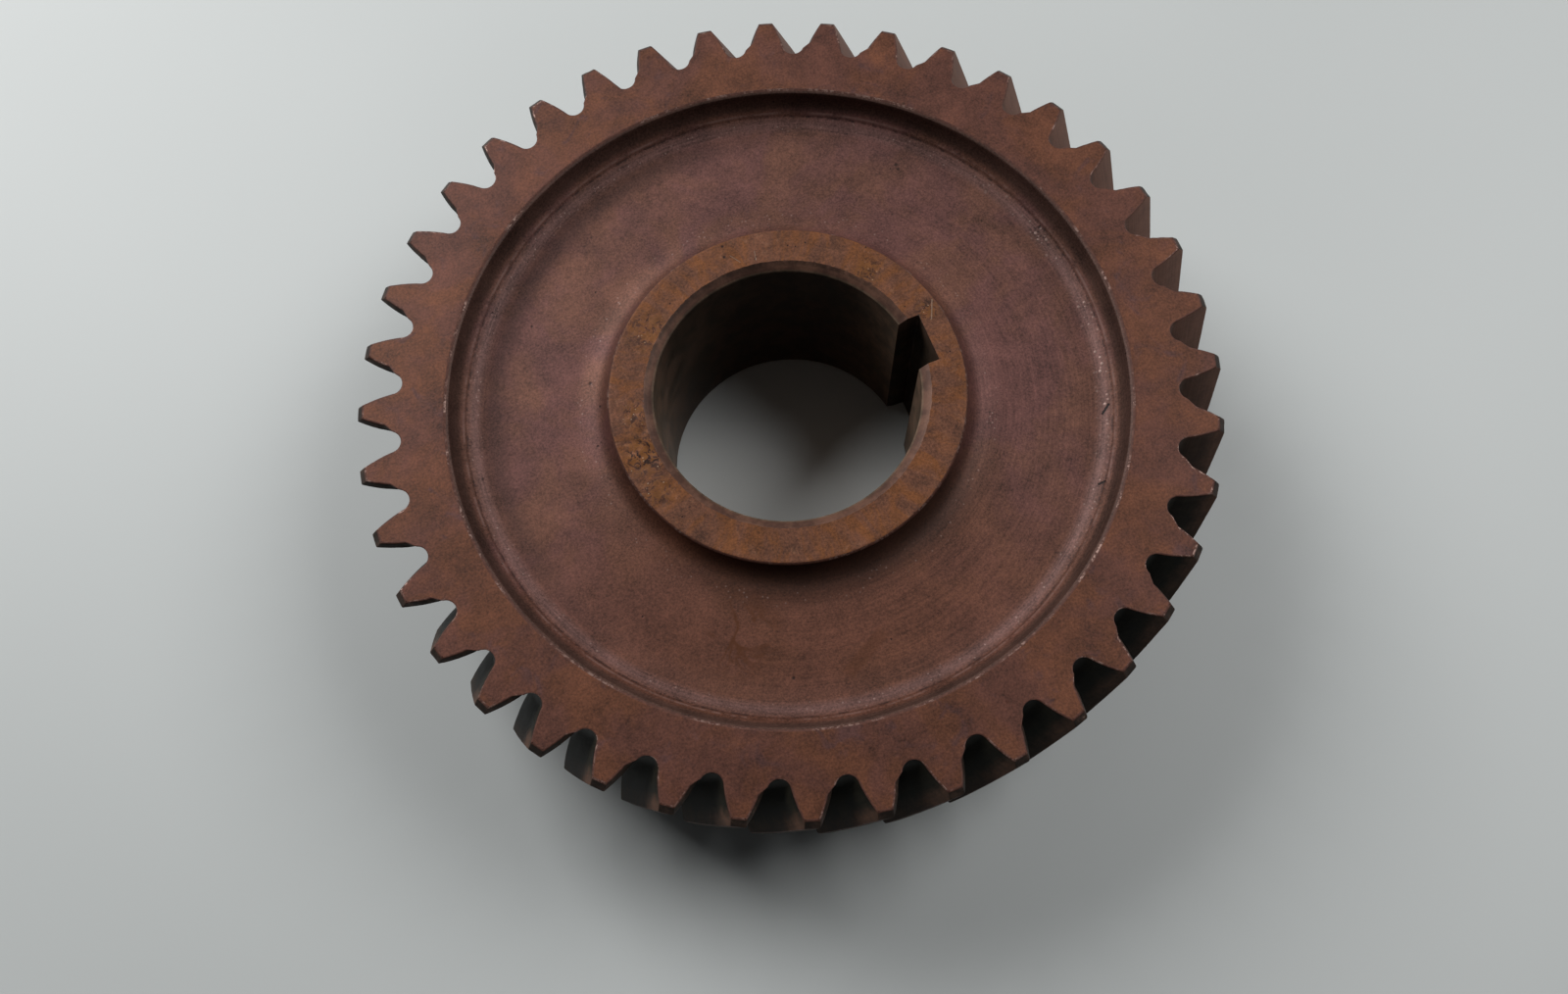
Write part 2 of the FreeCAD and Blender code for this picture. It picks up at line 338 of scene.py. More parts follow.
def keyed_ring(radius, height):
    """Circle of the bore with the keyway's bottom and walls let into it.

    The bottom ends just short of the corner and the wall starts just past it.
    """
    mouth = math.asin(KEY_HALF / radius)
    corner = radius * math.cos(mouth)
    half = [(KEY_BOTTOM, KEY_HALF * 0.985 * step / (KEY_BOTTOM_STEPS - 1))
            for step in range(KEY_BOTTOM_STEPS)]
    half += [(KEY_BOTTOM + (corner - KEY_BOTTOM) * (0.02 + 0.98 * step / (KEY_WALL_STEPS - 1)),
              KEY_HALF) for step in range(KEY_WALL_STEPS)]
    rest = RING_POINTS // 2 - len(half) + 1
    turns = mouth + (math.pi - mouth) * np.arange(1, rest + 1) / rest
    half += [(radius * math.cos(t), radius * math.sin(t)) for t in turns]
    lower = [(x, -y) for x, y in half[-2:0:-1]]
    return [(x, y, height) for x, y in half + lower]


def blended(outer, inner, share):
    """Ring between two rings, point by point."""
    return [tuple(a + (b - a) * share for a, b in zip(p, q)) for p, q in zip(outer, inner)]


# Corroded patches of the hub's two ends: degrees round the bore, radius, reach in mm, depth.
CORROSION = [(184, 29.5, 6.5, 0.36), (198, 31.0, 5.0, 0.22), (168, 28.5, 5.0, 0.22),
             (133, 29.5, 6.5, 0.16), (36, 29.5, 4.5, 0.18), (10, 31.5, 3.5, 0.12)]


def hub_pits(x, y):
    """Depth of the rough corroded patches of a hub end at a place."""
    depth = 0.0
    for degrees, radius, reach, deep in CORROSION:
        centre_x, centre_y = polar(degrees, radius)
        away = math.hypot(x - centre_x, y - centre_y)
        grain = max(0.0, 0.2 + rough(x, y, 0, 1.3, 1.3) + 0.7 * rough(x, y, 0, 2.4, 5.0))
        depth += deep * float(1 - smooth(away, 0.3 * reach, reach)) * grain
    return depth


def hub_face(outer, inner, shares, outwards):
    """Rings across a hub end, pitted where it has corroded."""
    rings = []
    for share in shares:
        ring = blended(outer, inner, share)
        rings.append([(x, y, z - outwards * hub_pits(x, y)) for x, y, z in ring])
    return rings


def uneven_mouth(ring):
    """Ring of the bore's mouth that wanders, as a hand-broken edge does, but not at the key."""
    moved = []
    for index, (x, y, z) in enumerate(ring):
        radius = math.hypot(x, y)
        away = 0.0
        if KEY_POINTS < index < RING_POINTS - KEY_POINTS:
            away = 0.16 * rough(x, y, 0, 2.2, 4.4) + 0.10 * rough(x, y, 0, 0.7, 9.1)
        moved.append((x * (1 + away / radius), y * (1 + away / radius), z))
    return moved


def turned_rings():
    """All the rings from the top rim face through the recess, hub, bore and boss to the back."""
    recess = recess_section()
    rings = [circle(radius, RIM_TOP - depth) for radius, depth in recess]
    edge = hub_edge(HUB_RADIUS, HUB_TOP, 1)
    rings += [circle(radius, height) for radius, height in edge]
    mouth = uneven_mouth(keyed_ring(BORE + CHAMFER, HUB_TOP))
    rings += hub_face(circle(*edge[-1]), mouth, np.linspace(0.06, 0.97, HUB_FACE_RINGS), 1)
    rings.append(mouth)
    rings.append(blended(mouth, keyed_ring(BORE, HUB_TOP - CHAMFER_DROP), 0.06))
    rings.append(keyed_ring(BORE + 0.10, HUB_TOP - CHAMFER_DROP + 0.07))
    for height in (HUB_TOP - CHAMFER_DROP - 0.06, HUB_TOP - 3.0, HUB_TOP / 2, 3.0,
                   CHAMFER_DROP + 0.06):
        rings.append(keyed_ring(BORE, height))
    rings.append(keyed_ring(BORE + 0.10, CHAMFER_DROP - 0.07))
    back_mouth = keyed_ring(BORE + CHAMFER, 0)
    rings.append(back_mouth)
    boss_edge = hub_edge(HUB_RADIUS, 0, -1)
    rings += hub_face(circle(*boss_edge[-1]), back_mouth, (0.9, 0.6, 0.3), -1)
    rings += [circle(radius, height) for radius, height in boss_edge[::-1]]
    rings += [circle(HUB_RADIUS, height) for height in (RIM_BOTTOM / 2, RIM_BOTTOM, RIM_BOTTOM + 2.3)]
    rings += [circle(radius, RIM_BOTTOM + depth) for radius, depth in recess[::-1]]
    return rings


def turned_material(ring, following, index):
    """Material slot of a facet between two turned rings, from where it lies."""
    (x, y, z), (next_x, next_y, next_z) = ring[index], following[index]
    radius = (math.hypot(x, y) + math.hypot(next_x, next_y)) / 2
    height = (z + next_z) / 2
    upright = abs(next_z - z) > 0.01
    in_key = index < KEY_POINTS or index >= RING_POINTS - KEY_POINTS
    if radius < KEY_BOTTOM + 0.8 and in_key and abs(next_z - z) > 0.04:
        return KEYWAY
    if radius < BORE + CHAMFER and upright:
        return BORED
    if radius < HUB_RADIUS - 0.3 and (height > HUB_TOP - 0.4 or height < 0.4):
        return HUB
    if radius < HUB_RADIUS - 0.01 and (height > HUB_TOP - 0.6 or height < 0.6):
        return EDGE
    if radius > RIM_BORE + 0.05:
        return RIM
    if radius > RIM_BORE - 0.3:
        return EDGE
    return WEB


# ------------------------------------------------------------------ the mesh

class Skin:
    """Points and faces of a mesh that grows ring by ring."""

    def __init__(self):
        self.points = []
        self.faces = []
        self.slots = []

    def ring(self, points):
        """Adds a ring of points and gives their numbers."""
        start = len(self.points)
        self.points += points
        return list(range(start, len(self.points)))

    def strip(self, first, second, slot_of):
        """Joins two closed rings of the same count; slot_of gives each facet's material."""
        count = len(first)
        for index in range(count):
            following = (index + 1) % count
            self.faces.append((first[index], first[following], second[following], second[index]))
            self.slots.append(slot_of(index))

    def fan(self, fine, coarse, shift, slot):
        """Joins a ring of FAN points to each point of a coarser ring turned by shift points."""
        count = len(coarse)
        for index in range(count):
            start = index * FAN
            outer = [fine[(start + step) % len(fine)] for step in range(FAN + 1)]
            inner = [coarse[(index + 1 + shift) % count], coarse[(index + shift) % count]]
            self.faces.append(tuple(outer + inner))
            self.slots.append(slot)


def worn_line(index):
    """Material slot of the narrow line that frames a tooth's end face."""
    return RIM if OUTLINE_PARTS[index % TOOTH_POINTS] == "root" else EDGE


def build_skin():
    """The closed skin of the gear."""
    skin = Skin()
    depths = band_depths()
    top_join = skin.ring(join_ring(0.0, JOIN_RADIUS))
    top_support = skin.ring(band_ring(0.0, WORN_LINE))
    band = [skin.ring(band_ring(depth)) for depth in depths]
    back_support = skin.ring(band_ring(FACE_WIDTH, WORN_LINE))
    back_join = skin.ring(join_ring(FACE_WIDTH, JOIN_RADIUS))
    skin.strip(top_join, top_support, lambda index: RIM)
    skin.strip(top_support, band[0], worn_line)
    for number, (upper, lower) in enumerate(zip(band, band[1:])):
        middle = (depths[number] + depths[number + 1]) / 2
        skin.strip(upper, lower,
                   lambda index: band_material(middle, OUTLINE_PARTS[index % TOOTH_POINTS]))
    skin.strip(band[-1], back_support, worn_line)
    skin.strip(back_support, back_join, lambda index: RIM)

    turned = turned_rings()
    rings = [skin.ring(points) for points in turned]
    for number in range(len(rings) - 1):
        upper, lower = turned[number], turned[number + 1]
        skin.strip(rings[number], rings[number + 1],
                   lambda index: turned_material(upper, lower, index))

    # A tooth's outline starts half a pitch before the tooth, and the back face is turned.
    start = -HALF_PITCH
    step = 2 * math.pi / RING_POINTS
    back_start = start + twist_at(FACE_WIDTH)
    skin.fan(top_join, rings[0], round(start / step), RIM)
    skin.fan(back_join, rings[-1], round(back_start / step), RIM)
    return skin


def make_piece(name, skin, materials):
    """Mesh object of a skin, in metres, with outward normals and crisp edges kept."""
    mesh = bpy.data.meshes.new(name)
    mesh.from_pydata([tuple(c * MM for c in point) for point in skin.points], [], skin.faces)
    for material in materials:
        mesh.materials.append(material)
    mesh.polygons.foreach_set("material_index", skin.slots)
    shell = bmesh.new()
    shell.from_mesh(mesh)
    bmesh.ops.recalc_face_normals(shell, faces=shell.faces)
    shell.to_mesh(mesh)
    shell.free()
    mesh.shade_smooth()
    mesh.set_sharp_from_angle(angle=SHARP_ANGLE)
    piece = bpy.data.objects.new(name, mesh)
    bpy.context.scene.collection.objects.link(piece)
    return piece


# ------------------------------------------------------------------ material helper

class Paint:
    """Node tree of one material. Places are millimetres in the gear's own frame."""

    def __init__(self, name):
        self.material = bpy.data.materials.new(name)
        self.material.use_nodes = True
        self.tree = self.material.node_tree
        self.shader = self.tree.nodes["Principled BSDF"]
        coordinates = self.tree.nodes.new("ShaderNodeTexCoord").outputs["Object"]
        self.place = self.vector("SCALE", coordinates, scale=1 / MM)
        split = self.node("ShaderNodeSeparateXYZ", {0: self.place})
        self.x, self.y, self.z = split.outputs
        flat = self.node("ShaderNodeCombineXYZ", {0: self.x, 1: self.y}).outputs[0]
        self.radius = self.vector("LENGTH", flat)
        heading = self.vector("NORMALIZE", flat)
        turn = self.node("ShaderNodeSeparateXYZ", {0: heading})
        self.cos, self.sin = turn.outputs[0], turn.outputs[1]

    def node(self, kind, inputs, **settings):
        """A new node with its settings, and its inputs set or linked."""
        made = self.tree.nodes.new(kind)
        for name, value in settings.items():
            setattr(made, name, value)
        for socket, value in inputs.items():
            self.put(made.inputs[socket], value)
        return made

    def put(self, socket, value):
        if isinstance(value, bpy.types.NodeSocket):
            self.tree.links.new(value, socket)
        else:
            socket.default_value = value

    def vector(self, operation, first, second=None, scale=None):
        made = self.node("ShaderNodeVectorMath", {0: first}, operation=operation)
        if second is not None:
            self.put(made.inputs[1], second)
        if scale is not None:
            self.put(made.inputs["Scale"], scale)
        return made.outputs["Value" if operation in ("LENGTH", "DOT_PRODUCT") else "Vector"]

    def math(self, operation, first, second=0.0):
        made = self.node("ShaderNodeMath", {0: first, 1: second}, operation=operation)
        return made.outputs[0]

    def noise(self, grain, detail=3.0, roughness=0.55, place=None, distortion=0.0):
        """Noise from 0 to 1 with lumps about grain millimetres across."""
        inputs = {"Vector": self.place if place is None else place, "Scale": 1 / grain,
                  "Detail": detail, "Roughness": roughness, "Distortion": distortion}
        return self.node("ShaderNodeTexNoise", inputs).outputs[0]

    def around(self, radial, turning, upright=0.0):
        """Place stretched along circles: grain in mm across the lines, lumps round the axis."""
        across = self.math("ADD", self.math("MULTIPLY", self.radius, 1 / radial),
                           self.math("MULTIPLY", self.z, upright))
        return self.node("ShaderNodeCombineXYZ", {
            0: across, 1: self.math("MULTIPLY", self.cos, turning),
            2: self.math("MULTIPLY", self.sin, turning)}).outputs[0]

    def step(self, value, low, high):
        """Smooth step from 0 at low to 1 at high; low above high turns it round."""
        return self.node("ShaderNodeMapRange", {"Value": value, "From Min": low, "From Max": high},
                         interpolation_type="SMOOTHSTEP").outputs[0]

    def band(self, value, centre, reach):
        """1 at centre, falling smoothly to 0 at reach away from it."""
        away = self.math("ABSOLUTE", self.math("SUBTRACT", value, centre))
        return self.step(away, reach, 0.0)

    def mix(self, factor, first, second, blend="MIX"):
        made = self.node("ShaderNodeMix", {}, data_type="RGBA", blend_type=blend)
        self.put(made.inputs[0], factor)
        for socket, colour in ((made.inputs[6], first), (made.inputs[7], second)):
            self.put(socket, (*colour, 1) if isinstance(colour, tuple) else colour)
        return made.outputs[2]

    def tone(self, *layers):
        """Brightness around 1 from layers of noise, each with its strength."""
        total = 1.0
        for layer, strength in layers:
            swing = self.math("MULTIPLY", self.math("SUBTRACT", layer, 0.5), strength)
            total = self.math("ADD", swing, total)
        return total

    def shade(self, colour, tone):
        """A colour made lighter or darker by a brightness around 1."""
        return self.vector("SCALE", colour, scale=tone)

    def mix_value(self, factor, first, second):
        """A number that runs from first to second with a mask."""
        made = self.node("ShaderNodeMix", {}, data_type="FLOAT")
        for socket, value in zip(made.inputs[0:4], (factor, None, first, second)):
            if value is not None:
                self.put(socket, value)
        return made.outputs[0]

    def both(self, first, second):
        """The product of two masks, or of a mask and a strength."""
        return self.math("MULTIPLY", first, second)

    def most(self, *values):
        """The strongest of several masks."""
        top = values[0]
        for value in values[1:]:
            top = self.math("MAXIMUM", top, value)
        return top

    def spots(self, grain, size, share):
        """Scattered round spots: their spacing, how much of it a spot takes, how many there are."""
        cells = self.node("ShaderNodeTexVoronoi", {"Vector": self.place, "Scale": 1 / grain})
        chosen = self.node("ShaderNodeSeparateXYZ", {0: cells.outputs["Color"]}).outputs[0]
        return self.both(self.step(cells.outputs["Distance"], size, size * 0.45),
                         self.step(chosen, share, share - 0.02))

    def stroke(self, degrees, radius, end_degrees, end_radius, width):
        """A thin straight mark between two places given round the bore."""
        start = Vector((*polar(degrees, radius), 0.0))
        end = Vector((*polar(end_degrees, end_radius), 0.0))
        middle, run = (start + end) / 2, end - start
        along = run.normalized()
        moved = self.vector("SUBTRACT", self.place, tuple(middle))
        forward = self.vector("DOT_PRODUCT", moved, tuple(along))
        side = Vector((-along.y, along.x, 0))
        sideways = self.vector("DOT_PRODUCT", moved, tuple(side))
        return self.both(self.step(self.math("ABSOLUTE", sideways), width, width * 0.5),
                         self.step(self.math("ABSOLUTE", forward), run.length / 2,
                                   run.length / 2 - width))

    def patch(self, degrees, radius, reach):
        """Soft round patch at a place given round the bore."""
        centre = (*polar(degrees, radius), 0.0)
        flat = self.vector("MULTIPLY", self.place, (1, 1, 0))
        return self.step(self.vector("LENGTH", self.vector("SUBTRACT", flat, centre)),
                         reach, reach * 0.2)

    def finish(self, colour, roughness, height, metallic=0.3, depth=0.02, specular=0.22):
        """Sets the shader. height runs from 0 to 1 and stands for depth millimetres."""
        self.put(self.shader.inputs["Base Color"], colour)
        self.put(self.shader.inputs["Roughness"], roughness)
        self.put(self.shader.inputs["Metallic"], metallic)
        self.shader.inputs["Specular IOR Level"].default_value = specular
        bump = self.node("ShaderNodeBump", {"Height": height, "Distance": depth * MM,
                                            "Strength": 1.0})
        self.put(self.shader.inputs["Normal"], bump.outputs[0])
        return self.material


# ------------------------------------------------------------------ materials

def rim_paint():
    """Rim faces: matt orange-brown film, softly mottled."""
    paint = Paint("rim_film")
    hue = paint.noise(13.0, 3.0, 0.6, distortion=0.5)
    cool = paint.noise(6.0, 3.0, 0.6, distortion=0.8)
    cloud = paint.noise(9.0, 6.0, 0.85)
    grain = paint.noise(0.45, 2.0, 0.7)
    colour = paint.mix(paint.step(hue, 0.40, 0.62), (0.089, 0.034, 0.023), (0.101, 0.037, 0.019))
    colour = paint.mix(paint.step(cool, 0.56, 0.72), colour, (0.075, 0.032, 0.027))
    freckles = paint.spots(4.5, 0.12, 0.14)
    colour = paint.mix(paint.both(freckles, 0.6), colour, (0.052, 0.014, 0.008))
    blotch = paint.noise(8.0, 2.0, 0.5, distortion=0.6)
    colour = paint.shade(colour, paint.tone((cloud, 2.1), (blotch, 0.80), (grain, 1.6)))
    pits = paint.spots(2.9, 0.07, 0.07)
    colour = paint.mix(pits, colour, (0.009, 0.005, 0.003))
    roughness = paint.mix_value(cloud, 0.46, 0.66)
    height = paint.math("SUBTRACT", grain, pits)
    return paint.finish(colour, roughness, height, metallic=0.3, depth=0.03)


# Radii of the web's features: foot of the hub, dish, slope, where wear and a painted highlight make
# the film paler, and the crease and crest where the slope meets the wall.
FOOT, DISH, SLOPE, CREASE, CREST = 39.3, 57.0, 60.2, 61.6, 62.1

# Single pits of the web that show: degrees round the bore, radius and reach in mm.
WEB_PITS = [(13.9, 61.3, 0.5), (153.1, 38.4, 0.5), (160.9, 36.1, 0.4), (140.8, 52.9, 0.4),
            (173.9, 60.0, 0.4), (249.6, 54.3, 0.5), (45.1, 55.6, 0.6), (44.3, 54.8, 0.5)]


def web_film(paint, worn, cloud, grain, rings):
    """Film of the web and walls: paler slope from wear and a painted highlight, painted shade in the
    dish, on the wall and towards -Y, a painted highlight on the crest, ringed by turning.
    """
    hue = paint.noise(16.0, 3.0, 0.6, distortion=0.5)
    blotch = paint.noise(11.0, 2.0, 0.5, distortion=0.6)
    colour = paint.mix(paint.step(hue, 0.38, 0.62), (0.097, 0.041, 0.035), (0.107, 0.046, 0.031))
    # browner, slightly darker painted shade on the side of the web towards -Y
    shade_tint = paint.step(paint.math("ADD", paint.both(paint.cos, 0.3), paint.sin), -0.3, -1.0)
    colour = paint.mix(paint.both(shade_tint, 0.8), colour, (0.097, 0.037, 0.021))
    # paler ring on the slope: wear together with a painted highlight
    colour = paint.mix(worn, colour, (0.117, 0.062, 0.055))
    # painted shade in the dish: a little all round, most on the side towards +Y and -X
    dish_shade_side = paint.step(paint.math("SUBTRACT", paint.both(paint.sin, 0.85), paint.cos), 0.4, 1.2)
    dark = paint.both(paint.band(paint.radius, DISH, 3.6), paint.mix_value(dish_shade_side, 0.12, 0.62))
    colour = paint.mix(dark, colour, (0.041, 0.020, 0.018))
    # painted shade on the steep wall of the recess
    wall = paint.step(paint.radius, CREST + 0.2, CREST + 1.2)
    colour = paint.mix(paint.both(wall, 0.85), colour, (0.066, 0.036, 0.028))
    lower = paint.math("SUBTRACT", paint.cos, paint.sin)
    turned = paint.most(paint.both(paint.step(lower, -0.6, 1.2), 0.45),
                        paint.both(paint.band(paint.radius, SLOPE - 0.2, 3.4), 0.6))
    return paint.shade(colour, paint.tone((cloud, 1.4), (blotch, 0.65), (grain, 1.9),
                                          (paint.mix_value(turned, 0.5, rings), 2.4)))


def web_stains_and_shadow(paint, colour):
    """Painted shadow at the foot of the hub on the side towards -Y, and the dried edge of a run below
    it.
    """
    # painted shadow of the hub, strongest next to it on the side towards -Y
    hub_shadow = paint.both(paint.step(paint.radius, 43.5, 35.0), paint.step(paint.sin, -0.45, -0.95))
    colour = paint.mix(paint.both(hub_shadow, 0.75), colour, (0.021, 0.012, 0.009))
    tide = paint.band(paint.noise(6.0, 2.0, 0.5, distortion=0.8), 0.5, 0.075)
    drip = paint.most(paint.both(paint.patch(238.0, 47.0, 10.0), tide),
                      paint.both(paint.stroke(270.4, 48.5, 259.2, 55.3, 1.6), 0.4))
    return paint.mix(paint.both(drip, 0.85), colour, (0.070, 0.022, 0.007))


def web_specks(paint, worn, rubbed):
    """Mask of bare specks on the slope and at the hub's foot, with painted glints on the slope
    towards the keyway.
    """
    specks = paint.both(paint.spots(0.9, 0.27, 0.36), paint.most(worn, paint.both(rubbed, 0.5)))
    # painted glints on the slope towards the keyway
    glint_side = paint.both(paint.band(paint.radius, SLOPE, 1.9), paint.step(paint.cos, 0.80, 0.97))
    painted_glints = paint.both(paint.spots(1.1, 0.34, 0.42), glint_side)
    return paint.most(paint.both(specks, 0.85), painted_glints)


def web_pits(paint):
    """Mask of the pits: scattered ones and the single ones that show."""
    pits = paint.most(paint.spots(3.4, 0.075, 0.14), paint.spots(1.3, 0.12, 0.035))
    return paint.most(pits, *(paint.patch(*pit) for pit in WEB_PITS))


def web_paint():
    """Turned web and recess walls: purple-brown, faint rings, pits, worn specks with painted glints,
    and painted shade, shadow and highlights.
    """
    paint = Paint("turned_web")
    cloud = paint.noise(7.5, 5.0, 0.75)
    grain = paint.noise(0.42, 2.0, 0.75)
    rings = paint.noise(1.0, 3.0, 0.7, place=paint.around(0.42, 3.5, 2.0))
    # mask of the paler slope ring: wear together with a painted highlight
    worn = paint.both(paint.band(paint.radius, SLOPE, 2.0), 0.75)
    rubbed = paint.band(paint.radius, FOOT, 2.8)
    colour = web_stains_and_shadow(paint, web_film(paint, worn, cloud, grain, rings))
    specks = web_specks(paint, worn, rubbed)
    # the specks mask holds bare specks and painted glints
    colour = paint.mix(specks, colour, (0.270, 0.180, 0.155))
    pits = web_pits(paint)
    colour = paint.mix(paint.both(pits, 0.85), colour, (0.013, 0.006, 0.005))
    chips = paint.most(paint.stroke(334.5, 59.8, 336.6, 61.15, 0.26),
                       paint.stroke(321.0, 60.7, 321.9, 61.9, 0.24))
    colour = paint.mix(chips, colour, (0.006, 0.004, 0.004))
    # painted shade along the crease, broken by noise
    crease = paint.both(paint.band(paint.radius, CREASE, 0.30),
                        paint.step(paint.noise(1.6, 3.0, 0.7), 0.42, 0.62))
    colour = paint.mix(paint.both(crease, 0.8), colour, (0.020, 0.010, 0.009))
    # painted highlight along the crest
    crest = paint.both(paint.band(paint.radius, CREST, 0.3), paint.step(cloud, 0.42, 0.56))
    colour = paint.mix(paint.both(crest, 0.6), colour, (0.178, 0.105, 0.090))
    gloss = paint.math("ADD", specks, paint.most(paint.both(worn, 0.8), paint.both(rubbed, 0.45)))
    roughness = paint.mix_value(gloss, 0.56, 0.34)
    height = paint.math("ADD", paint.both(rings, 0.4), paint.both(grain, 0.6))
    height = paint.math("ADD", height, paint.both(specks, 0.5))
    height = paint.math("SUBTRACT", height, paint.math("ADD", pits, paint.both(chips, 1.5)))
    return paint.finish(colour, roughness, height, metallic=0.36, depth=0.035)


# Single pits of the hub's face: degrees round the bore, radius and reach in mm.
HUB_PITS = [(92, 30.7, 0.5), (91, 33.0, 0.45), (68.2, 30.5, 0.3), (61.9, 31.3, 0.3),
            (119.5, 29.1, 0.3)]


def corroded(paint):
    """Mask of the hub ends' corroded patches, strongest at the first."""
    rotten = paint.patch(*CORROSION[0][:3])
    for degrees, radius, reach, _ in CORROSION[1:]:
        rotten = paint.most(rotten, paint.both(paint.patch(degrees, radius, reach), 0.75))
    return rotten


def hub_paint():
    """Hub ends: golden rust with radial stains, pits, scratches and corroded patches."""
    paint = Paint("hub_rust")
    stains = paint.noise(1.0, 3.0, 0.6, place=paint.around(9.0, 9.0), distortion=0.7)
    cloud = paint.noise(4.0, 6.0, 0.85)
    coarse = paint.noise(1.7, 3.0, 0.7, distortion=0.8)
    grain = paint.noise(0.5, 2.0, 0.75)
    colour = paint.mix(paint.step(stains, 0.40, 0.64), (0.116, 0.046, 0.025),
                       (0.122, 0.043, 0.014))
    colour = paint.mix(paint.both(paint.step(coarse, 0.56, 0.70), 0.6), colour,
                       (0.157, 0.071, 0.040))
    rotten = corroded(paint)
    colour = paint.shade(colour, paint.tone((cloud, 2.3), (stains, 0.9), (grain, 1.2),
                                            (paint.mix_value(rotten, 0.5, coarse), 2.4)))
    crust = paint.noise(1.5, 3.0, 0.75, distortion=1.2)
    eaten = paint.both(rotten, paint.step(crust, 0.47, 0.55))
    colour = paint.mix(paint.both(eaten, 0.8), colour, (0.142, 0.054, 0.011))
    colour = paint.mix(paint.both(rotten, paint.step(crust, 0.475, 0.42)), colour,
                       (0.019, 0.007, 0.004))
    glints = paint.both(paint.spots(0.7, 0.22, 0.25), paint.step(rotten, 0.2, 0.6))
    colour = paint.mix(glints, colour, (0.317, 0.215, 0.142))
    pits = paint.most(paint.spots(2.1, 0.11, 0.16), *(paint.patch(*pit) for pit in HUB_PITS))
    colour = paint.mix(pits, colour, (0.017, 0.006, 0.004))
    cuts = paint.most(paint.stroke(89.9, 30.6, 87.0, 28.4, 0.10),
                      paint.stroke(80.7, 30.2, 80.9, 27.9, 0.10),
                      paint.stroke(12.3, 33.6, 5.7, 31.1, 0.14))
    colour = paint.mix(paint.both(cuts, 0.7), colour, (0.242, 0.164, 0.119))
    roughness = paint.mix_value(paint.most(cuts, glints), 0.60, 0.3)
    height = paint.math("ADD", paint.both(grain, 0.6), paint.both(paint.both(crust, rotten), 2.0))
    height = paint.math("ADD", height, cuts)
    height = paint.math("SUBTRACT", height, pits)
    return paint.finish(colour, roughness, height, metallic=0.25, depth=0.05)


def bore_paint():
    """Bore and its chamfers: olive-brown with fine rings, darkest on the side towards +Y, where
    painted shade darkens the wall.
    """
    paint = Paint("bored_wall")
    cloud = paint.noise(5.0, 4.0, 0.7)
    grain = paint.noise(0.5, 2.0, 0.7)
    rings = paint.noise(1.0, 2.0, 0.6, place=paint.around(0.5, 1.6, 3.5))
    colour = paint.mix(paint.step(cloud, 0.38, 0.62), (0.080, 0.056, 0.038), (0.125, 0.078, 0.053))
    mouth = paint.step(paint.radius, BORE + 0.1, BORE + 0.5)
    film = paint.mix(paint.step(cloud, 0.4, 0.62), (0.066, 0.033, 0.024), (0.098, 0.049, 0.033))
    colour = paint.mix(mouth, colour, film)
    colour = paint.shade(colour, paint.tone((cloud, 0.9), (grain, 0.5), (rings, 0.5)))
    # painted shade on the bore wall towards +Y; everywhere else the colour is lifted by a quarter
    shaded = paint.both(paint.step(paint.sin, 0.25, 0.85), paint.step(paint.radius, BORE + 0.4, BORE))
    colour = paint.shade(colour, paint.mix_value(shaded, 1.25, 0.42))
    upper = paint.step(paint.sin, 0.15, 0.75)
    # broken dark line round the outer part of the mouth's chamfer, on the side towards +Y
    dark_line = paint.both(paint.step(paint.noise(2.3, 4.0, 0.7), 0.34, 0.58), upper)
    lip = paint.both(paint.step(paint.radius, BORE + 0.8, BORE + 1.5), dark_line)
    colour = paint.mix(paint.both(lip, 0.7), colour, (0.024, 0.014, 0.010))
    roughness = paint.mix_value(cloud, 0.40, 0.60)
    height = paint.math("ADD", paint.both(rings, 0.8), paint.both(grain, 0.3))
    return paint.finish(colour, roughness, height, metallic=0.3, depth=0.02)


def flank_paint():
    """Tooth flanks and roots: brown film near the tips, near-black painted shade towards the roots
    and deeper under the top face, and painted light on the side near 35 degrees.
    """
    paint = Paint("shaded_flank")
    cloud = paint.noise(3.0, 4.0, 0.7)
    grain = paint.noise(0.5, 2.0, 0.7)
    marks = paint.noise(1.0, 2.0, 0.6, place=paint.around(0.4, 12.0, 0.15))
    film = paint.mix(paint.step(cloud, 0.38, 0.62), (0.066, 0.036, 0.024), (0.088, 0.045, 0.029))
    # near-black painted shade in the tooth spaces, towards the roots
    gap_shade = paint.mix(paint.step(cloud, 0.35, 0.65), (0.009, 0.008, 0.005), (0.015, 0.013, 0.008))
    wander = paint.math("ADD", paint.radius, paint.both(cloud, 2.0))
    shaded = paint.mix(paint.step(wander, 78.8, 81.6), gap_shade, film)
    # painted shade deeper under the top face
    below = paint.step(paint.z, RIM_TOP - 4.0, RIM_TOP - 13.0)
    shaded = paint.mix(paint.both(below, 0.65), shaded, gap_shade)
    # painted light: lighter film on the flanks facing near 35 degrees
    lit_film = paint.mix(paint.step(wander, 73.0, 76.5), (0.036, 0.021, 0.016), (0.150, 0.078, 0.057))
    lit_side = paint.math("ADD", paint.both(paint.cos, 0.82), paint.both(paint.sin, 0.57))
    colour = paint.mix(paint.step(lit_side, 0.15, 0.85), shaded, lit_film)
    colour = paint.shade(colour, paint.tone((cloud, 0.8), (marks, 0.6), (grain, 0.4)))
    roughness = paint.mix_value(cloud, 0.50, 0.68)
    height = paint.math("ADD", paint.both(marks, 0.8), paint.both(grain, 0.4))
    return paint.finish(colour, roughness, height, metallic=0.1, depth=0.02, specular=0.12)


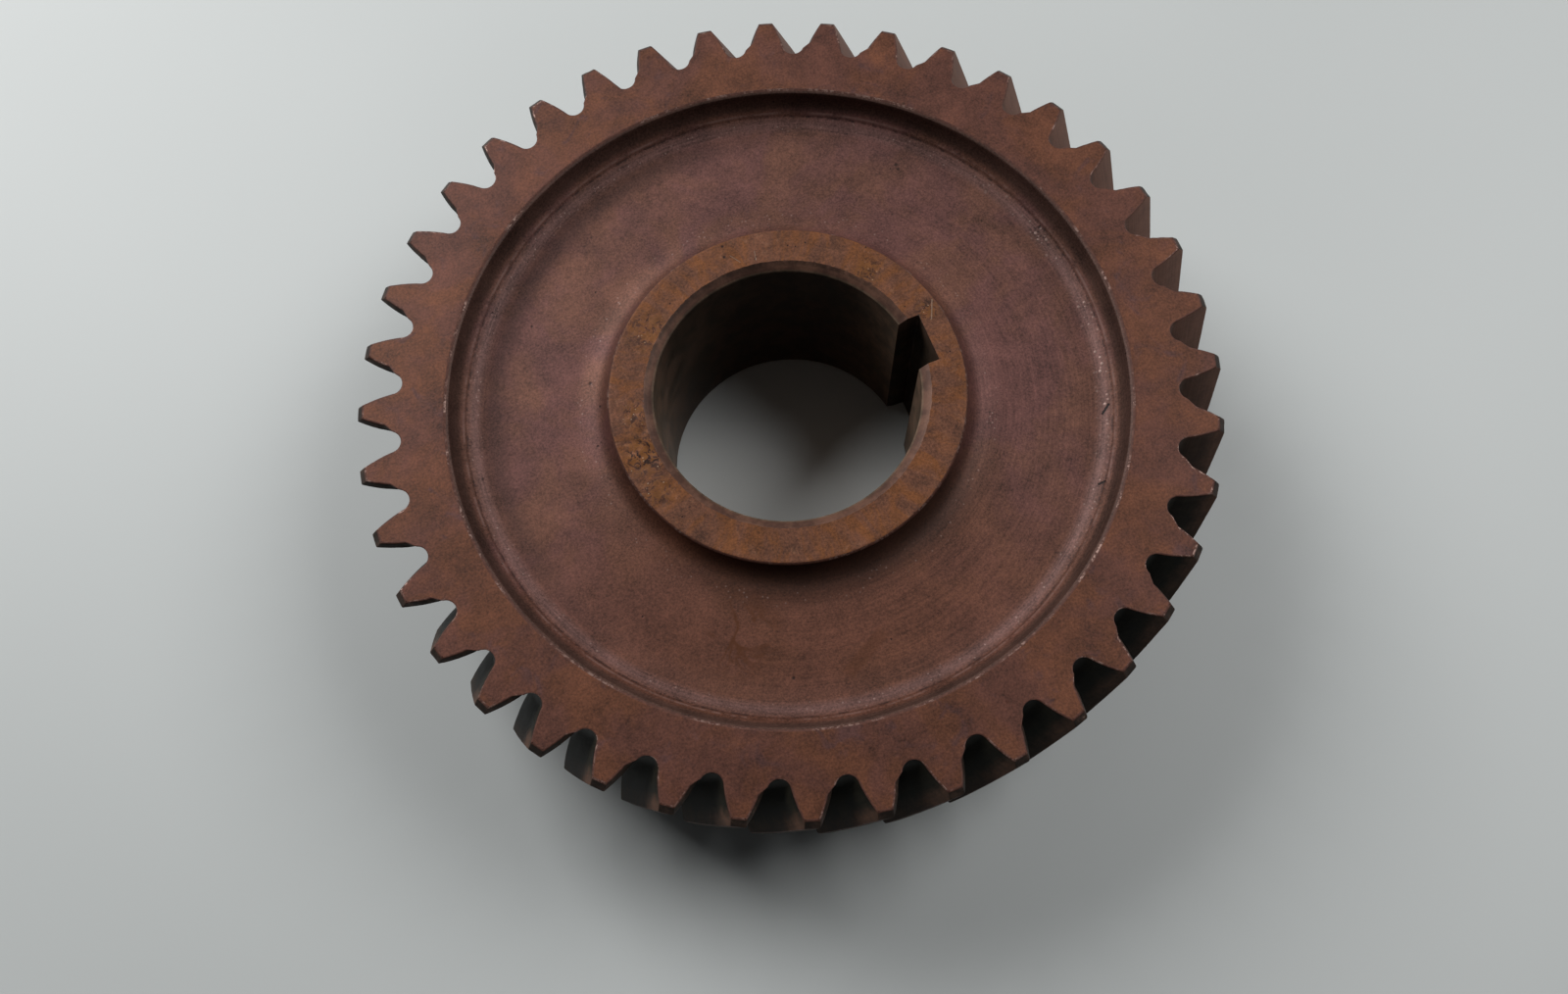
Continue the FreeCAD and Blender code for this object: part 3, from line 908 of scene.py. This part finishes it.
def edge_paint():
    """Worn narrow edges: bare steel where they rubbed, brown film where they did not."""
    paint = Paint("worn_edge")
    wear = paint.noise(6.0, 3.0, 0.65)
    fine = paint.noise(0.8, 3.0, 0.7)
    bare = paint.both(paint.step(wear, 0.50, 0.62), paint.step(fine, 0.45, 0.58))
    film = paint.mix(paint.step(fine, 0.4, 0.65), (0.070, 0.029, 0.021), (0.104, 0.043, 0.030))
    colour = paint.mix(paint.both(bare, 0.55), film, (0.30, 0.205, 0.175))
    roughness = paint.mix_value(bare, 0.62, 0.45)
    metallic = paint.mix_value(bare, 0.2, 0.5)
    return paint.finish(colour, roughness, fine, metallic=metallic, depth=0.03)


def keyway_paint():
    """Keyway: near-black over the broach's long straight marks, lighter towards the hub face."""
    paint = Paint("broached_key")
    flat = paint.vector("MULTIPLY", paint.place, (1.0, 1.0, 0.03))
    marks = paint.noise(0.35, 2.0, 0.6, place=flat)
    cloud = paint.noise(4.0, 4.0, 0.7)
    colour = paint.mix(paint.step(cloud, 0.38, 0.65), (0.020, 0.014, 0.009), (0.052, 0.034, 0.022))
    top = paint.both(paint.step(paint.z, HUB_TOP - 6.0, HUB_TOP - 0.5), 0.6)
    colour = paint.mix(top, colour, (0.080, 0.048, 0.034))
    colour = paint.shade(colour, paint.tone((marks, 0.8), (cloud, 0.6)))
    roughness = paint.mix_value(cloud, 0.45, 0.62)
    return paint.finish(colour, roughness, marks, metallic=0.2, depth=0.02)


def chamfer_paint():
    """Tip chamfers and edge bevels: dark scale with a little bare steel."""
    paint = Paint("dark_chamfer")
    cloud = paint.noise(2.2, 4.0, 0.65)
    fine = paint.noise(0.5, 3.0, 0.7)
    colour = paint.mix(paint.step(cloud, 0.42, 0.70), (0.024, 0.016, 0.012), (0.062, 0.036, 0.026))
    bare = paint.both(paint.step(cloud, 0.62, 0.72), paint.step(fine, 0.48, 0.62))
    colour = paint.mix(paint.both(bare, 0.7), colour, (0.26, 0.18, 0.14))
    colour = paint.shade(colour, paint.tone((fine, 0.6)))
    roughness = paint.mix_value(cloud, 0.62, 0.48)
    return paint.finish(colour, roughness, fine, metallic=0.2, depth=0.03)


def floor_paint():
    """Plain pale table top with a soft sheen."""
    paint = Paint("pale_table")
    cloud = paint.noise(220.0, 2.0, 0.5)
    colour = paint.mix(paint.step(cloud, 0.3, 0.7), (0.47, 0.49, 0.485), (0.50, 0.52, 0.515))
    grain = paint.noise(1.5, 2.0, 0.5)
    return paint.finish(colour, paint.mix_value(cloud, 0.50, 0.56), grain, metallic=0.0,
                        depth=0.004)


# ------------------------------------------------------------------ the gear

gear = make_piece("gear_forging", build_skin(), [
    rim_paint(), web_paint(), hub_paint(), bore_paint(), flank_paint(), edge_paint(),
    keyway_paint(), chamfer_paint()])
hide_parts("helical_gear")
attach(gear, "root")

# ------------------------------------------------------------------ floor, light and camera

FLOOR_HALF = 2.5
FLOOR_HEIGHT = -0.02 * MM
SKY = (0.80, 0.84, 0.86, 1)
FILL_STRENGTH = 0.045
BACKDROP_STRENGTH = 0.55


def add_floor():
    """Table top under the boss, a hair below it so that the two faces don't coincide."""
    mesh = bpy.data.meshes.new("table_top")
    signs = [(-1, -1), (1, -1), (1, 1), (-1, 1)]
    corners = [(FLOOR_HALF * x, FLOOR_HALF * y, FLOOR_HEIGHT) for x, y in signs]
    mesh.from_pydata(corners, [], [(0, 1, 2, 3)])
    mesh.materials.append(floor_paint())
    floor = bpy.data.objects.new("table_top", mesh)
    bpy.context.scene.collection.objects.link(floor)


def direction(degrees, elevation):
    """Unit vector towards a heading round the bore and an elevation above the floor."""
    rise = math.radians(elevation)
    return Vector((*polar(degrees, math.cos(rise)), math.sin(rise)))


def add_softbox(name, degrees, elevation, distance, size, power):
    """Square soft light that faces the gear from a heading round the bore."""
    data = bpy.data.lights.new(name, "AREA")
    data.shape = "SQUARE"
    data.size = size
    data.energy = power
    lamp = bpy.data.objects.new(name, data)
    towards = direction(degrees, elevation)
    lamp.location = towards * distance
    lamp.rotation_mode = "QUATERNION"
    lamp.rotation_quaternion = (-towards).to_track_quat("-Z", "Y")
    bpy.context.scene.collection.objects.link(lamp)


def add_world():
    """Weak fill light from all round, in front of a pale backdrop that lights nothing."""
    world = bpy.data.worlds.new("studio")
    world.use_nodes = True
    tree = world.node_tree
    fill = tree.nodes["Background"]
    fill.inputs["Color"].default_value = SKY
    fill.inputs["Strength"].default_value = FILL_STRENGTH
    backdrop = tree.nodes.new("ShaderNodeBackground")
    backdrop.inputs["Color"].default_value = SKY
    backdrop.inputs["Strength"].default_value = BACKDROP_STRENGTH
    path = tree.nodes.new("ShaderNodeLightPath")
    chosen = tree.nodes.new("ShaderNodeMixShader")
    tree.links.new(path.outputs["Is Camera Ray"], chosen.inputs[0])
    tree.links.new(fill.outputs[0], chosen.inputs[1])
    tree.links.new(backdrop.outputs[0], chosen.inputs[2])
    tree.links.new(chosen.outputs[0], tree.nodes["World Output"].inputs["Surface"])
    bpy.context.scene.world = world


# The photograph's camera, as fitted to the gear's circles and tooth tips.
CAMERA_PLACE = Vector((-28.8, -85.9, 244.7)) * MM
CAMERA_AIM = Vector((-14.8, -36.1, 43.3)) * MM
CAMERA_ROLL = math.radians(-6.0)
LENS = 26.65
FRAME_SHIFT = 0.058


def add_camera():
    """Camera at the photograph's viewing angle."""
    data = bpy.data.cameras.new("camera")
    data.sensor_width = 36.0
    data.lens = LENS
    data.shift_y = FRAME_SHIFT
    data.clip_start = 0.01
    camera = bpy.data.objects.new("camera", data)
    camera.location = CAMERA_PLACE
    camera.rotation_mode = "QUATERNION"
    aimed = (CAMERA_AIM - CAMERA_PLACE).to_track_quat("-Z", "Y")
    camera.rotation_quaternion = aimed @ Quaternion((0, 0, 1), CAMERA_ROLL)
    bpy.context.scene.collection.objects.link(camera)
    bpy.context.scene.camera = camera


add_floor()
add_softbox("left", 118, 41, 0.85, 0.42, 6.3)
add_softbox("top", 62, 38, 1.1, 0.60, 0.8)
add_softbox("right", 4, 48, 1.0, 0.50, 5.6)
add_world()
add_camera()
bpy.context.scene.view_settings.view_transform = "Standard"
